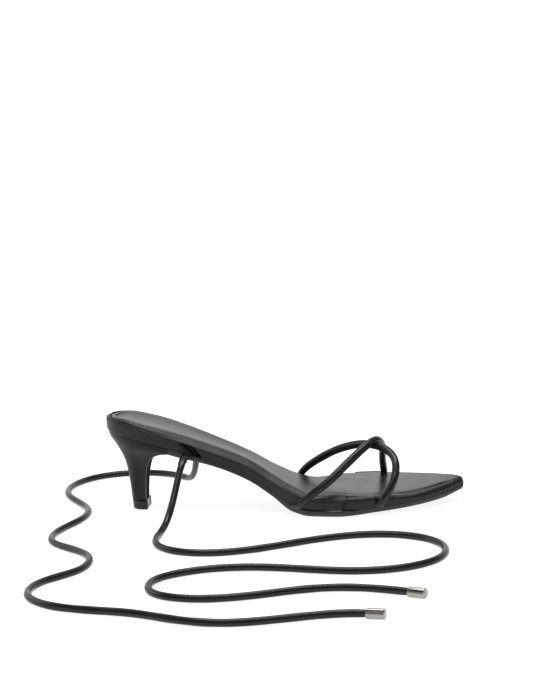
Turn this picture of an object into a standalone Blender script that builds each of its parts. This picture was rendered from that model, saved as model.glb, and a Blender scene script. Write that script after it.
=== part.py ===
"""Strappy kitten heel: one right sandal with crossed forefoot straps and loose ankle ties.

The shoe stands on the floor at Z = 0 with its toe towards +X and its outer (lateral)
side towards -Y. All sizes below are in millimetres; meshes are made in metres.
"""
import math

import bmesh
import bpy
import numpy as np
from mathutils import Vector

MM = 0.001

# Driving dimensions
LENGTH = 250.0          # heel back to toe tip
MIDDLE = 0.65           # y of the middle of the shoe's width, straps included
GAP = 0.3               # clearance between pieces that touch
CORD = 4.8              # diameter of the rolled ties; the straps are a little thicker
SOCK_RECESS = 1.6       # depth of the recess that holds the sock
SOCK_PROUD = 0.5        # how far the sock stands above the rim
HEEL_DISH = 1.2         # hollow of the footbed under the heel of the foot
DISH_FROM, DISH_TO = 60.0, 140.0    # where the hollow starts to level out and ends
OUTSOLE_START = 46.6    # rear end of the outsole, at the heel's front lip
STATIONS = 40           # sections from heel to toe

# The last: heights and half widths by distance from the heel's back.
# The wrapped rim climbs by "rise" over the width "rim" from its outer shoulder to the sock.
# "seam" is the underside of the footbed, "sole" the underside of the outsole.
# "lean" is how much lower the top lies at the lateral edge than at the medial edge.
LAST_COLUMNS = ("x", "shoulder", "rise", "rim", "seam", "sole", "lateral", "medial", "lean")
LAST = (
    (0.0, 67.5, 0.4, 2.0, 59.4, 57.2, 0.0, 0.0, 0.0),
    (5.0, 67.0, 0.7, 2.6, 58.3, 56.0, 13.4, 13.2, 0.0),
    (14.0, 65.5, 1.6, 3.8, 56.0, 53.5, 20.1, 20.0, 0.0),
    (30.0, 60.6, 2.5, 5.2, 52.2, 48.8, 24.6, 24.4, 0.0),
    (50.0, 54.2, 3.0, 6.2, 46.4, 41.6, 24.8, 23.7, 0.0),
    (75.0, 44.8, 3.1, 6.4, 37.5, 34.4, 23.4, 20.5, 0.0),
    (100.0, 34.5, 3.0, 6.4, 26.3, 23.8, 23.2, 16.1, 0.0),
    (118.0, 23.6, 3.2, 6.2, 15.9, 12.4, 26.7, 17.3, 0.0),
    (132.0, 16.7, 2.6, 6.0, 7.8, 2.6, 31.6, 21.6, 0.0),
    (144.5, 12.9, 2.3, 6.0, 5.4, 0.0, 35.5, 26.6, 0.4),
    (153.0, 12.0, 2.9, 6.0, 5.3, 0.0, 37.3, 30.5, 1.0),
    (163.7, 12.9, 2.2, 5.6, 5.3, 0.0, 38.4, 34.9, 0.8),
    (190.0, 13.2, 0.8, 2.6, 6.0, 1.9, 34.6, 38.0, 0.8),
    (215.0, 12.8, 1.4, 2.6, 7.0, 3.2, 24.2, 32.8, 1.7),
    (235.0, 13.6, 2.0, 2.6, 8.2, 4.5, 8.8, 21.8, 1.4),
    (245.0, 14.6, 2.0, 2.4, 9.8, 6.7, -0.9, 14.4, 0.6),
    (250.0, 13.9, 2.7, 2.3, 11.0, 8.4, -7.3, 7.3, 0.0),
)

# Sections of the sole's pieces, from the underside up and inwards.
# A row's point stands in from the footbed's edge by "inset" plus a share of the rim's width,
# and lies "above" one of the last's levels.
SECTION_COLUMNS = ("inset", "rim_share", "level", "above")
FOOTBED_SECTION = (
    (2.2, 0.0, "seam", 0.0),
    (0.4, 0.0, "seam", 0.2),
    (0.0, 0.0, "seam", 1.0),
    (0.0, 0.0, "shoulder", -1.0),
    (0.4, 0.0, "shoulder", -0.1),
    (0.4, 0.4, "slope", 0.0),
    (-0.6, 1.0, "crown", 0.0),
    (-0.1, 1.0, "crown", -0.4),
    (0.1, 1.0, "crown", -SOCK_RECESS),
)
SOCK_SECTION = (
    (0.6, 1.0, "crown", GAP - SOCK_RECESS),
    (0.5, 1.0, "crown", SOCK_PROUD - 1.1),
    (0.8, 1.0, "crown", SOCK_PROUD - 0.4),
    (1.6, 1.0, "crown", SOCK_PROUD),
)
OUTSOLE_SECTION = (
    (2.9, 0.0, "sole", 0.0),
    (1.4, 0.0, "sole", 0.45),
    (0.6, 0.0, "welt", 0.0),
    (0.5, 0.0, "seam", -GAP),
)
SLOPE_SHARE = 0.58      # share of the rim's rise at the middle of its slope
WELT_SHARE = 0.45       # share of the outsole's thickness at its widest line
TOP_COLUMNS, UNDERSIDE_COLUMNS = 6, 4   # facets across the sole's pieces

# Heel sections from the seat down: back and front points in the side view,
# half width at the breast, and how full the rounded back is (2 is an ellipse).
HEEL_COLUMNS = ("back_x", "back_z", "front_x", "front_z", "half_width", "fullness")
HEEL = (
    (0.0, 58.9, 46.2, 47.4, 24.4, 2.4),
    (0.2, 57.3, 46.2, 43.6, 24.0, 2.4),
    (1.2, 54.2, 40.5, 42.8, 22.2, 2.4),
    (3.4, 50.6, 35.4, 41.0, 19.4, 2.4),
    (5.9, 46.4, 31.6, 38.4, 16.4, 2.3),
    (8.2, 42.0, 29.2, 34.8, 13.7, 2.3),
    (10.2, 37.2, 27.6, 30.6, 11.7, 2.2),
    (11.8, 31.0, 26.6, 25.6, 10.3, 2.2),
    (12.9, 23.6, 25.9, 19.8, 9.2, 2.1),
    (13.7, 15.2, 25.5, 13.4, 8.4, 2.1),
    (14.4, 7.2, 25.3, 7.2, 7.8, 2.1),
)
HEEL_CORNER = 0.9       # chamfer between the heel's sides and its breast
HEEL_SIDE_POINTS = 11   # points from a breast corner to the middle of the back
HEEL_STEP = 0.5         # share of a row between two sections of the heel

# Heel tip sections, in the heel's columns
TIP = (
    (14.3, 6.9, 26.0, 6.9, 8.1, 2.2),
    (14.4, 5.6, 26.4, 5.6, 8.2, 2.2),
    (14.9, 1.2, 26.3, 1.2, 8.0, 2.2),
    (15.7, 0.0, 25.3, 0.0, 7.3, 2.2),
)

# Strap routes: x from the heel's back, y, z and thickness as a share of CORD.
# Each strap starts and ends tucked flat in the seam under the footbed.
STRAP_OVER = (
    (134.6, -25.0, 6.6, 0.70),
    (135.2, -30.6, 6.7, 0.74),
    (136.8, -35.4, 8.0, 0.86),
    (139.6, -37.8, 10.9, 0.98),
    (144.0, -38.4, 14.6, 1.08),
    (153.0, -36.4, 20.8, 1.12),
    (161.3, -32.0, 26.8, 1.12),
    (168.6, -26.0, 32.8, 1.12),
    (176.9, -18.2, 39.3, 1.12),
    (184.4, -9.8, 44.4, 1.12),
    (190.2, -1.6, 46.0, 1.12),
    (192.9, 5.6, 42.9, 1.12),
    (193.4, 14.3, 37.4, 1.12),
    (192.9, 21.6, 31.2, 1.12),
    (192.4, 29.4, 24.2, 1.12),
    (192.5, 36.6, 17.0, 1.10),
    (192.8, 40.7, 11.7, 1.0),
    (193.0, 39.3, 8.0, 0.86),
    (193.2, 34.8, 6.0, 0.74),
    (193.4, 28.0, 5.7, 0.70),
)
STRAP_UNDER = (
    (128.6, 11.4, 9.6, 0.70),
    (129.0, 17.2, 9.5, 0.74),
    (129.8, 22.2, 11.0, 0.86),
    (131.9, 24.8, 14.4, 0.98),
    (135.9, 25.4, 19.4, 1.08),
    (142.8, 23.8, 25.0, 1.12),
    (151.4, 20.4, 30.6, 1.12),
    (160.8, 16.4, 35.6, 1.12),
    (170.0, 11.8, 39.2, 1.12),
    (179.2, 5.6, 41.8, 1.12),
    (187.9, -1.7, 42.6, 1.12),
    (196.3, -9.0, 41.2, 1.12),
    (202.2, -16.2, 37.6, 1.12),
    (204.4, -23.0, 32.4, 1.12),
    (203.8, -28.8, 26.4, 1.12),
    (201.2, -33.2, 20.0, 1.10),
    (197.4, -35.8, 14.2, 1.04),
    (193.6, -36.0, 9.6, 0.94),
    (191.2, -33.0, 6.4, 0.80),
    (189.8, -26.6, 5.6, 0.70),
)
STRAP_POINT_SPACING = 4.6
STRAP_SIDES_LEVEL = 4   # bevel resolution: 12 sides
STRAP_POCKET_POINTS = 6     # points of a strap's end that lie in a pocket of the sole

# Tie routes: out of the waist seam, down to the floor and along it in loose curves.
TIE_LATERAL = (
    (60.5, -14.0, 42.6),
    (59.8, -20.0, 42.9),
    (59.0, -27.0, 42.8),
    (58.0, -34.5, 41.0),
    (56.8, -41.5, 36.0),
    (55.4, -48.0, 28.8),
    (53.8, -54.5, 20.6),
    (52.0, -62.0, 12.4),
    (50.0, -71.0, 6.0),
    (48.2, -82.0, 3.0),
    (47.6, -95.0, 2.6),
    (53.0, -114.0, 2.6),
    (72.0, -129.0, 2.6),
    (100.0, -130.0, 2.6),
    (130.0, -117.0, 2.6),
    (160.0, -100.0, 2.6),
    (192.0, -92.0, 2.6),
    (221.0, -100.0, 2.6),
    (238.0, -122.0, 2.6),
    (236.0, -150.0, 2.6),
    (215.0, -170.0, 2.6),
    (184.0, -176.0, 2.6),
    (150.0, -170.0, 2.6),
    (116.0, -165.0, 2.6),
    (84.0, -172.0, 2.6),
    (63.0, -192.0, 2.6),
    (66.0, -216.0, 2.6),
    (88.0, -229.0, 2.6),
    (116.0, -228.0, 2.6),
    (142.0, -219.0, 2.6),
    (168.0, -211.0, 2.6),
    (194.0, -212.0, 2.6),
    (212.0, -219.0, 3.0),
    (226.0, -226.0, 3.5),
)
TIE_MEDIAL = (
    (60.0, 11.0, 42.8),
    (59.2, 17.0, 43.1),
    (58.4, 24.0, 43.0),
    (57.4, 31.5, 41.2),
    (56.2, 38.5, 36.2),
    (54.8, 45.0, 28.8),
    (53.0, 51.5, 20.6),
    (50.4, 59.5, 12.4),
    (46.8, 68.0, 6.0),
    (41.4, 77.5, 3.0),
    (33.0, 86.0, 2.6),
    (16.0, 95.0, 2.6),
    (-8.0, 96.0, 2.6),
    (-30.0, 84.0, 2.6),
    (-42.0, 60.0, 2.6),
    (-40.0, 32.0, 2.6),
    (-26.0, 6.0, 2.6),
    (-14.0, -20.0, 2.6),
    (-16.0, -46.0, 2.6),
    (-24.0, -72.0, 2.6),
    (-22.0, -98.0, 2.6),
    (-4.0, -118.0, 2.6),
    (12.0, -140.0, 2.6),
    (10.0, -168.0, 2.6),
    (-6.0, -190.0, 2.6),
    (-10.0, -216.0, 2.6),
    (6.0, -238.0, 2.6),
    (32.0, -249.0, 2.6),
    (60.0, -256.0, 2.6),
    (86.0, -268.0, 2.6),
    (114.0, -276.0, 2.6),
    (142.0, -272.0, 2.6),
    (168.0, -264.0, 2.6),
    (188.0, -262.0, 3.0),
    (204.0, -265.0, 3.5),
)
TIE_POINT_SPACING = 12.5
TIE_SIDES_LEVEL = 2     # bevel resolution: 8 sides
TIE_POCKET_POINTS = 3

# Metal end caps: turned cups that hold the last millimetres of each tie
CAP_LENGTH = 11.0
CAP_RADIUS = 3.2
CAP_SOCKET = 7.0        # depth of the cup
CAP_LIP = 0.4           # chamfer at the cup's mouth
CAP_STEPS = 14
CAP_NOSE_COLUMNS = ("radius_share", "below_end")
CAP_NOSE = (
    (0.0, 0.0),
    (0.80, 0.05),
    (0.94, 0.3),
    (1.0, 0.8),
)

ROUTE_SAMPLES = 40      # samples of a fair curve for each point of its route
TANGENT_STEP = 1e-4     # station angle over which the outline's direction is read
WELD = 1e-6             # metres within which the vertices of a tube's caps are merged
SHARP = 40.0            # degrees above which an edge is shaded sharp

# Finishes: base colour, roughness, metallic
FINISHES = {
    "wrapped_leather": ((0.012, 0.012, 0.013), 0.42, 0.0),
    "sock_leather": ((0.020, 0.020, 0.021), 0.50, 0.0),
    "rolled_leather": ((0.012, 0.012, 0.013), 0.38, 0.0),
    "outsole_black": ((0.014, 0.014, 0.014), 0.55, 0.0),
    "heel_black": ((0.010, 0.010, 0.011), 0.32, 0.0),
    "tip_black": ((0.014, 0.014, 0.014), 0.35, 0.0),
    "nickel": ((0.72, 0.71, 0.69), 0.18, 1.0),
}


def table(columns, rows):
    """Turn rows into arrays by column name."""
    return dict(zip(columns, np.array(rows).T))


LAST_TABLE = table(LAST_COLUMNS, LAST)


def angle_of(x):
    """Station angle of a distance from the heel: stations crowd at heel and toe."""
    return math.acos(max(-1.0, min(1.0, 1.0 - 2.0 * x / LENGTH)))


def distance_of(angle):
    """Distance from the heel's back at a station angle."""
    return LENGTH * (1.0 - math.cos(angle)) / 2.0


LAST_ANGLES = np.array([angle_of(x) for x in LAST_TABLE["x"]])


def slopes_level(knots, values):
    """Slopes that never overshoot, so that level stretches stay level."""
    steps = np.diff(values) / np.diff(knots)
    inner = np.zeros(len(knots) - 2)
    same = steps[:-1] * steps[1:] > 0.0
    inner[same] = 2.0 / (1.0 / steps[:-1][same] + 1.0 / steps[1:][same])
    return np.concatenate(([steps[0]], inner, [steps[-1]]))


def slopes_fair(knots, values):
    """Slopes of the natural cubic spline, for fair outlines."""
    count = len(knots)
    widths = np.diff(knots)
    steps = np.diff(values) / widths
    system = np.zeros((count, count))
    right = np.zeros(count)
    system[0, :2] = 2.0, 1.0
    right[0] = 3.0 * steps[0]
    system[-1, -2:] = 1.0, 2.0
    right[-1] = 3.0 * steps[-1]
    for i in range(1, count - 1):
        system[i, i - 1:i + 2] = widths[i], 2.0 * (widths[i - 1] + widths[i]), widths[i - 1]
        right[i] = 3.0 * (widths[i] * steps[i - 1] + widths[i - 1] * steps[i])
    return np.linalg.solve(system, right)


def hermite(knots, values, slopes, where):
    """Cubic through the knots with the given slopes."""
    i = int(np.clip(np.searchsorted(knots, where) - 1, 0, len(knots) - 2))
    width = knots[i + 1] - knots[i]
    s = (where - knots[i]) / width
    start = (1.0 + 2.0 * s) * (1.0 - s) ** 2 * values[i] + s * (1.0 - s) ** 2 * width * slopes[i]
    end = s * s * (3.0 - 2.0 * s) * values[i + 1] - s * s * (1.0 - s) * width * slopes[i + 1]
    return float(start + end)


LEVEL_COLUMNS = ("shoulder", "rise", "rim", "seam", "sole", "lean")
LAST_SLOPES = {
    name: (slopes_level if name in LEVEL_COLUMNS else slopes_fair)(LAST_ANGLES, LAST_TABLE[name])
    for name in LAST_COLUMNS[1:]
}


def last(name, angle):
    """A column of the last's table at a station angle."""
    return hermite(LAST_ANGLES, LAST_TABLE[name], LAST_SLOPES[name], angle)


def at(name, x):
    """A column of the last's table at a distance from the heel's back."""
    return last(name, angle_of(x))


def smooth_step(value):
    """0 below 0, 1 above 1, soft between."""
    s = max(0.0, min(1.0, value))
    return s * s * (3.0 - 2.0 * s)


def edge_point(side, angle):
    """Plan point of the footbed's edge; side is -1 for lateral and 1 for medial."""
    half_width = last("lateral" if side < 0 else "medial", angle)
    return np.array((distance_of(angle), side * half_width))


def inset_point(side, angle, inset, rim_share, square):
    """Edge point moved inwards; square keeps it on its station's straight line."""
    point = edge_point(side, angle)
    reach = inset + rim_share * last("rim", angle)
    if square:
        return point - np.array((0.0, side * reach))
    step = TANGENT_STEP
    before = edge_point(side, max(0.0, angle - step))
    after = edge_point(side, min(math.pi, angle + step))
    along_x, along_y = (after - before) / np.linalg.norm(after - before)
    return point + reach * np.array((along_y, -along_x)) * side


RISE_SHARES = {"shoulder": 0.0, "slope": SLOPE_SHARE, "crown": 1.0}


def level_height(level, x, side):
    """Height of a named level of the last at a distance from the heel's back, on one side."""
    if level in RISE_SHARES:
        lowered = at("lean", x) if side < 0 else 0.0
        return at("shoulder", x) + RISE_SHARES[level] * at("rise", x) - lowered
    if level == "welt":
        return (1.0 - WELT_SHARE) * at("sole", x) + WELT_SHARE * (at("seam", x) - GAP)
    return at(level, x)


def loop_around(angles, square_start, inset, rim_share, level, above):
    """Closed loop of points: lateral side to the toe, medial side back."""
    sides = []
    for side in (-1, 1):
        line = []
        for i, angle in enumerate(angles):
            x, y = inset_point(side, angle, inset, rim_share, square_start and i == 0)
            line.append((x, y, level_height(level, x, side) + above))
        sides.append(line)
    closed_heel = angles[0] == 0.0
    return sides[0] + sides[1][-2:0 if closed_heel else None:-1]


def loops_of(angles, section, square_start=False):
    """One loop around the sole for each row of a section."""
    return [loop_around(angles, square_start, **dict(zip(SECTION_COLUMNS, row))) for row in section]


def object_from(name, mesh, material):
    """Object of the shoe's collection with one material."""
    mesh.materials.append(material)
    made = bpy.data.objects.new(name, mesh)
    shoe.objects.link(made)
    return made


def place(point):
    """Metres in the shoe's frame, whose origin is under the middle of its length and width."""
    x, y, z = point
    return Vector((x - LENGTH / 2.0, y - MIDDLE, z)) * MM


def cap_rows(loop_verts, bm, columns, sag):
    """Rows of vertices across a loop, from its start to its turning point."""
    count = len(loop_verts)
    closed_start = count % 2 == 0
    rows = []
    for i in range(count // 2 + 1):
        partner = (count - i) % count if closed_start else count - 1 - i
        first, second = loop_verts[i], loop_verts[partner]
        if first is second:
            rows.append([first])
            continue
        row = [first]
        straight_end = i == 0
        for j in range(1, 1 if straight_end else columns):
            share = j / columns
            point = first.co.lerp(second.co, share)
            parabola = 4.0 * share * (1.0 - share)
            point.z += sag(point.x / MM + LENGTH / 2.0) * parabola * MM
            row.append(bm.verts.new(point))
        rows.append(row + [second])
    return rows


def fill_rows(bm, rows):
    """Faces between neighbouring rows; a row of one vertex is a pole, of two a straight end."""
    for near, far in zip(rows, rows[1:]):
        if len(near) == 1 or len(far) == 1:
            pole, line = (near[0], far) if len(near) == 1 else (far[0], near)
            for a, b in zip(line, line[1:]):
                bm.faces.new((pole, a, b))
            continue
        if len(near) != len(far):
            bm.faces.new((near[0], *far, near[-1]))
            continue
        for a, b, c, d in zip(near, near[1:], far[1:], far):
            bm.faces.new((a, b, c, d))


def flat(x):
    """No hollow at any distance from the heel's back."""
    return 0.0


def loft(name, loops, material, columns, sag_top=flat, sag_bottom=flat):
    """Closed solid through loops of equal length, first loop at the bottom."""
    bm = bmesh.new()
    rings = [[bm.verts.new(place(point)) for point in loop] for loop in loops]
    for lower, upper in zip(rings, rings[1:]):
        for a, b, c, d in zip(lower, lower[1:] + lower[:1], upper[1:] + upper[:1], upper):
            bm.faces.new((a, b, c, d))
    fill_rows(bm, cap_rows(rings[0], bm, columns, sag_bottom))
    fill_rows(bm, cap_rows(rings[-1], bm, columns, sag_top))
    bmesh.ops.recalc_face_normals(bm, faces=bm.faces)
    mesh = bpy.data.meshes.new(name)
    bm.to_mesh(mesh)
    bm.free()
    mesh.shade_smooth()
    mesh.set_sharp_from_angle(angle=math.radians(SHARP))
    return object_from(name, mesh, material)


def finish(name):
    """Material of one of the finishes."""
    colour, roughness, metallic = FINISHES[name]
    made = bpy.data.materials.new(name)
    made.use_nodes = True
    shader = made.node_tree.nodes["Principled BSDF"]
    shader.inputs["Base Color"].default_value = (*colour, 1.0)
    shader.inputs["Roughness"].default_value = roughness
    shader.inputs["Metallic"].default_value = metallic
    return made


def dish(x):
    """Hollow of the footbed's top across its width."""
    return -HEEL_DISH * (1.0 - smooth_step((x - DISH_FROM) / (DISH_TO - DISH_FROM)))


STATION_ANGLES = np.linspace(0.0, math.pi, STATIONS + 1)


def build_footbed():
    """Wrapped insole board: rounded lower edge, flat side, sloping rim, recess for the sock."""
    loops = loops_of(STATION_ANGLES, FOOTBED_SECTION)
    return loft("footbed", loops, finish("wrapped_leather"), TOP_COLUMNS, sag_top=dish)


def build_sock():
    """Padded insole lining in the footbed's recess, with a soft rounded edge."""
    loops = loops_of(STATION_ANGLES, SOCK_SECTION)
    return loft("sock", loops, finish("sock_leather"), TOP_COLUMNS, sag_top=dish, sag_bottom=dish)


def build_outsole():
    """Sheet under waist and forefoot, thick at the tread, with a rounded lower edge."""
    start = angle_of(OUTSOLE_START)
    angles = [start] + [angle for angle in STATION_ANGLES if angle > start]
    loops = loops_of(angles, OUTSOLE_SECTION, square_start=True)
    return loft("outsole", loops, finish("outsole_black"), UNDERSIDE_COLUMNS)


def heel_loop(row, seat=None):
    """D-shaped section: flat breast in front, rounded sides and back."""
    back_x, back_z, front_x, front_z, half_width, fullness = row
    front = np.array((front_x, front_z))
    reach = np.array((back_x, back_z)) - front
    depth = HEEL_CORNER / np.linalg.norm(reach)
    half = [(0.0, half_width - HEEL_CORNER), (depth, half_width)]
    for i in range(1, HEEL_SIDE_POINTS + 1):
        turn = i / HEEL_SIDE_POINTS * math.pi / 2.0
        along = depth + (1.0 - depth) * math.sin(turn) ** (2.0 / fullness)
        half.append((along, half_width * math.cos(turn)))
    points = [(*(front + along * reach), -across) for along, across in half]
    points += [(*(front + along * reach), across) for along, across in half[-2::-1]]
    return [(x, y, seat(x) if seat else z) for x, z, y in points]


def build_heel():
    """Kitten heel from the tilted seat to the level end under the tip."""
    levels = np.arange(len(HEEL), dtype=float)
    columns = list(table(HEEL_COLUMNS, HEEL).values())
    slopes = [slopes_level(levels, column) for column in columns]
    loops = []
    for level in np.arange(len(HEEL) - 1, -HEEL_STEP / 2.0, -HEEL_STEP):
        row = [hermite(levels, column, slope, level) for column, slope in zip(columns, slopes)]
        seat = (lambda x: at("seam", x) - GAP) if level == 0.0 else None
        loops.append(heel_loop(row, seat))
    return loft("heel", loops, finish("heel_black"), UNDERSIDE_COLUMNS)


def build_heel_tip():
    """Hard top piece on the heel's end, a little larger than the heel."""
    loops = [heel_loop(row) for row in reversed(TIP)]
    return loft("heel_tip", loops, finish("tip_black"), UNDERSIDE_COLUMNS)


def fair_route(points, spacing):
    """Evenly spaced points on a fair curve through the route's own points."""
    points = np.array(points)
    chords = np.linalg.norm(np.diff(points[:, :3], axis=0), axis=1)
    knots = np.concatenate(([0.0], np.cumsum(chords)))
    slopes = [slopes_fair(knots, column) for column in points.T]
    fine = np.array([
        [hermite(knots, column, slope, where) for column, slope in zip(points.T, slopes)]
        for where in np.linspace(0.0, knots[-1], ROUTE_SAMPLES * len(knots))
    ])
    runs = np.linalg.norm(np.diff(fine[:, :3], axis=0), axis=1)
    reached = np.concatenate(([0.0], np.cumsum(runs)))
    count = int(round(reached[-1] / spacing))
    wanted = np.linspace(0.0, reached[-1], count + 1)
    return np.array([np.interp(wanted, reached, column) for column in fine.T]).T


def build_tube(name, route, radius, sides_level, collection):
    """Round tube along route points; a fourth column thins or thickens it."""
    curve = bpy.data.curves.new(name, "CURVE")
    curve.dimensions = "3D"
    curve.bevel_depth = radius * MM
    curve.bevel_resolution = sides_level
    curve.use_fill_caps = True
    spline = curve.splines.new("POLY")
    spline.points.add(len(route) - 1)
    for point, row in zip(spline.points, route):
        point.co = (*place(row[:3]), 1.0)
        point.radius = row[3] if len(row) > 3 else 1.0
    made = bpy.data.objects.new(name, curve)
    collection.objects.link(made)
    return made


def tube_to_mesh(tube, material=None):
    """Closed mesh in place of a tube, with its end caps welded on."""
    bpy.context.view_layer.update()
    name, world = tube.name, tube.matrix_world.copy()
    collection = tube.users_collection[0]
    mesh = bpy.data.meshes.new_from_object(tube.evaluated_get(bpy.context.evaluated_depsgraph_get()))
    bpy.data.objects.remove(tube)
    bm = bmesh.new()
    bm.from_mesh(mesh)
    bmesh.ops.remove_doubles(bm, verts=bm.verts, dist=WELD)
    bmesh.ops.recalc_face_normals(bm, faces=bm.faces)
    bm.to_mesh(mesh)
    bm.free()
    mesh.materials.clear()
    if material:
        mesh.materials.append(material)
    made = bpy.data.objects.new(name, mesh)
    made.matrix_world = world
    collection.objects.link(made)
    return made


def combine(target, other, operation):
    """Boolean modifier on target."""
    modifier = target.modifiers.new(f"{operation.lower()}_{other.name}", "BOOLEAN")
    modifier.operation = operation
    modifier.object = other


def hide_tool(tool):
    """Mark a cutter so that it is no piece of the shoe."""
    tool.hide_render = True
    tool.display_type = "WIRE"


def build_upper(material):
    """Two rolled straps, made one where the upper one crosses over the lower one."""
    over = fair_route(STRAP_OVER, STRAP_POINT_SPACING)
    under = fair_route(STRAP_UNDER, STRAP_POINT_SPACING)
    upper = tube_to_mesh(build_tube("upper_straps", over, CORD / 2.0, STRAP_SIDES_LEVEL, shoe), material)
    joined = tube_to_mesh(build_tube("strap_under", under, CORD / 2.0, STRAP_SIDES_LEVEL, tools))
    hide_tool(joined)
    combine(upper, joined, "UNION")
    return over, under


def build_tie(side, route, material):
    """Loose tie, a plain tube from the waist seam to its metal end cap."""
    points = fair_route(route, TIE_POINT_SPACING)
    tie = build_tube(f"tie_{side}", points, CORD / 2.0, TIE_SIDES_LEVEL, shoe)
    tie.data.materials.append(material)
    return points


def build_end_cap(side, route, material):
    """Turned metal cup on the end of a tie, lying in the tie's own direction."""
    inner = CORD / 2.0 + GAP
    nose = table(CAP_NOSE_COLUMNS, CAP_NOSE)
    profile = [
        *zip(CAP_RADIUS * nose["radius_share"], CAP_LENGTH - nose["below_end"]),
        (CAP_RADIUS, CAP_LIP),
        (CAP_RADIUS - CAP_LIP / 2.0, 0.0),
        (inner, 0.0),
        (inner, CAP_SOCKET),
        (0.0, CAP_SOCKET),
    ]
    mesh = bpy.data.meshes.new(f"tie_tip_{side}")
    verts = [(radius * MM, 0.0, z * MM) for radius, z in profile]
    mesh.from_pydata(verts, [(i, i + 1) for i in range(len(verts) - 1)], [])
    cap = object_from(f"tie_tip_{side}", mesh, material)
    end, before = place(route[-1][:3]), place(route[-2][:3])
    direction = (end - before).normalized()
    cap.location = end - direction * (CAP_SOCKET - GAP) * MM
    cap.rotation_mode = "QUATERNION"
    cap.rotation_quaternion = direction.to_track_quat("Z", "Y")
    turn = cap.modifiers.new("turn", "SCREW")
    turn.steps = CAP_STEPS
    turn.render_steps = CAP_STEPS
    turn.use_merge_vertices = True
    turn.merge_threshold = WELD
    turn.use_smooth_shade = True
    return cap


def cut_pockets(target, routes):
    """Pockets in a sole piece for the tucked ends of straps and ties."""
    for name, route in routes:
        pocket = tube_to_mesh(
            build_tube(f"pocket_{target.name}_{name}", route, CORD / 2.0 + GAP, STRAP_SIDES_LEVEL, tools)
        )
        hide_tool(pocket)
        combine(target, pocket, "DIFFERENCE")


for old in list(bpy.data.objects):
    bpy.data.objects.remove(old)

shoe = bpy.data.collections.new("strappy_kitten_heel")
tools = bpy.data.collections.new("cutters")
bpy.context.scene.collection.children.link(shoe)
bpy.context.scene.collection.children.link(tools)

footbed = build_footbed()
build_sock()
outsole = build_outsole()
build_heel()
build_heel_tip()

rolled_leather = finish("rolled_leather")
nickel = finish("nickel")
over_route, under_route = build_upper(rolled_leather)
lateral_route = build_tie("lateral", TIE_LATERAL, rolled_leather)
medial_route = build_tie("medial", TIE_MEDIAL, rolled_leather)
build_end_cap("lateral", lateral_route, nickel)
build_end_cap("medial", medial_route, nickel)

pockets = (
    ("over_lateral", over_route[:STRAP_POCKET_POINTS]),
    ("over_medial", over_route[-STRAP_POCKET_POINTS:]),
    ("under_medial", under_route[:STRAP_POCKET_POINTS]),
    ("under_lateral", under_route[-STRAP_POCKET_POINTS:]),
    ("tie_lateral", lateral_route[:TIE_POCKET_POINTS]),
    ("tie_medial", medial_route[:TIE_POCKET_POINTS]),
)
cut_pockets(footbed, pockets)
cut_pockets(outsole, pockets)
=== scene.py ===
"""Strappy kitten heel, one right sandal: the looks of each piece, in the order of its making.

Sizes are in millimetres from the heel's back, the shoe's middle and the floor, unless a name says
otherwise. The shoe stands with its toe towards +X and its outer (lateral) side towards -Y.
"""
import math

import bmesh
import bpy
import numpy as np
from mathutils import Matrix, Vector


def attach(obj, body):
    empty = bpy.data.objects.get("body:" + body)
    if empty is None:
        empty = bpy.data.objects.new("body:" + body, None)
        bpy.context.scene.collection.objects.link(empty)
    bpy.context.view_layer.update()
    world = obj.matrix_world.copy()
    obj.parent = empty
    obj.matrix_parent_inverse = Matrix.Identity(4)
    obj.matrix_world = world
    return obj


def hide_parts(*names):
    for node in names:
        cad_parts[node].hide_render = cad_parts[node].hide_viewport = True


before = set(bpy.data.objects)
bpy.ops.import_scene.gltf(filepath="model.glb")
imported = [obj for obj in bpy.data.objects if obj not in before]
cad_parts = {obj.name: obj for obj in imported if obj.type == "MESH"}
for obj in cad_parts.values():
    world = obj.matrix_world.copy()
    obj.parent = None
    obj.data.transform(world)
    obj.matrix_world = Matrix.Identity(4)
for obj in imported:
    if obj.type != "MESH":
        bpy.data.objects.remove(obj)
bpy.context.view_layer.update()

# Studio: a plain pale floor, lit from below like a light table so that it runs out of sight, and
# soft white surroundings, brighter behind the shoe than in front, with three soft boxes.
# The camera keeps the photograph's angle to the shoe and is rolled by a few degrees. Metres here.
scene = bpy.context.scene
scene.view_settings.view_transform = "Standard"
IMAGE_WIDTH, IMAGE_HEIGHT = 540, 675
AIM = Vector((0.0, -0.00065, 0.030))
AIM_PIXEL = (284.95, 463.5)
CAMERA_TURN = math.radians(6.5)
CAMERA_RISE = math.radians(12.9)
CAMERA_ROLL = math.radians(-2.6)
CAMERA_DISTANCE = 1.3
FOCAL_PIXELS = 1834.0
SENSOR = 36.0

camera_data = bpy.data.cameras.new("camera")
camera_data.sensor_width = SENSOR
camera_data.lens = FOCAL_PIXELS * SENSOR / IMAGE_HEIGHT
camera = bpy.data.objects.new("camera", camera_data)
backwards = Vector((
    math.sin(CAMERA_TURN) * math.cos(CAMERA_RISE),
    -math.cos(CAMERA_TURN) * math.cos(CAMERA_RISE),
    math.sin(CAMERA_RISE),
))
rightwards = Vector((math.cos(CAMERA_TURN), math.sin(CAMERA_TURN), 0.0))
facing = Matrix((rightwards, backwards.cross(rightwards), backwards)).transposed()
tilt = math.atan((AIM_PIXEL[1] - IMAGE_HEIGHT / 2.0) / FOCAL_PIXELS)
swing = math.atan((AIM_PIXEL[0] - IMAGE_WIDTH / 2.0) / FOCAL_PIXELS)
for angle, axis in ((CAMERA_ROLL, "Z"), (tilt, "X"), (swing, "Y")):
    facing = facing @ Matrix.Rotation(angle, 3, axis)
camera.matrix_world = Matrix.Translation(AIM + CAMERA_DISTANCE * backwards) @ facing.to_4x4()
scene.collection.objects.link(camera)
scene.camera = camera

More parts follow.
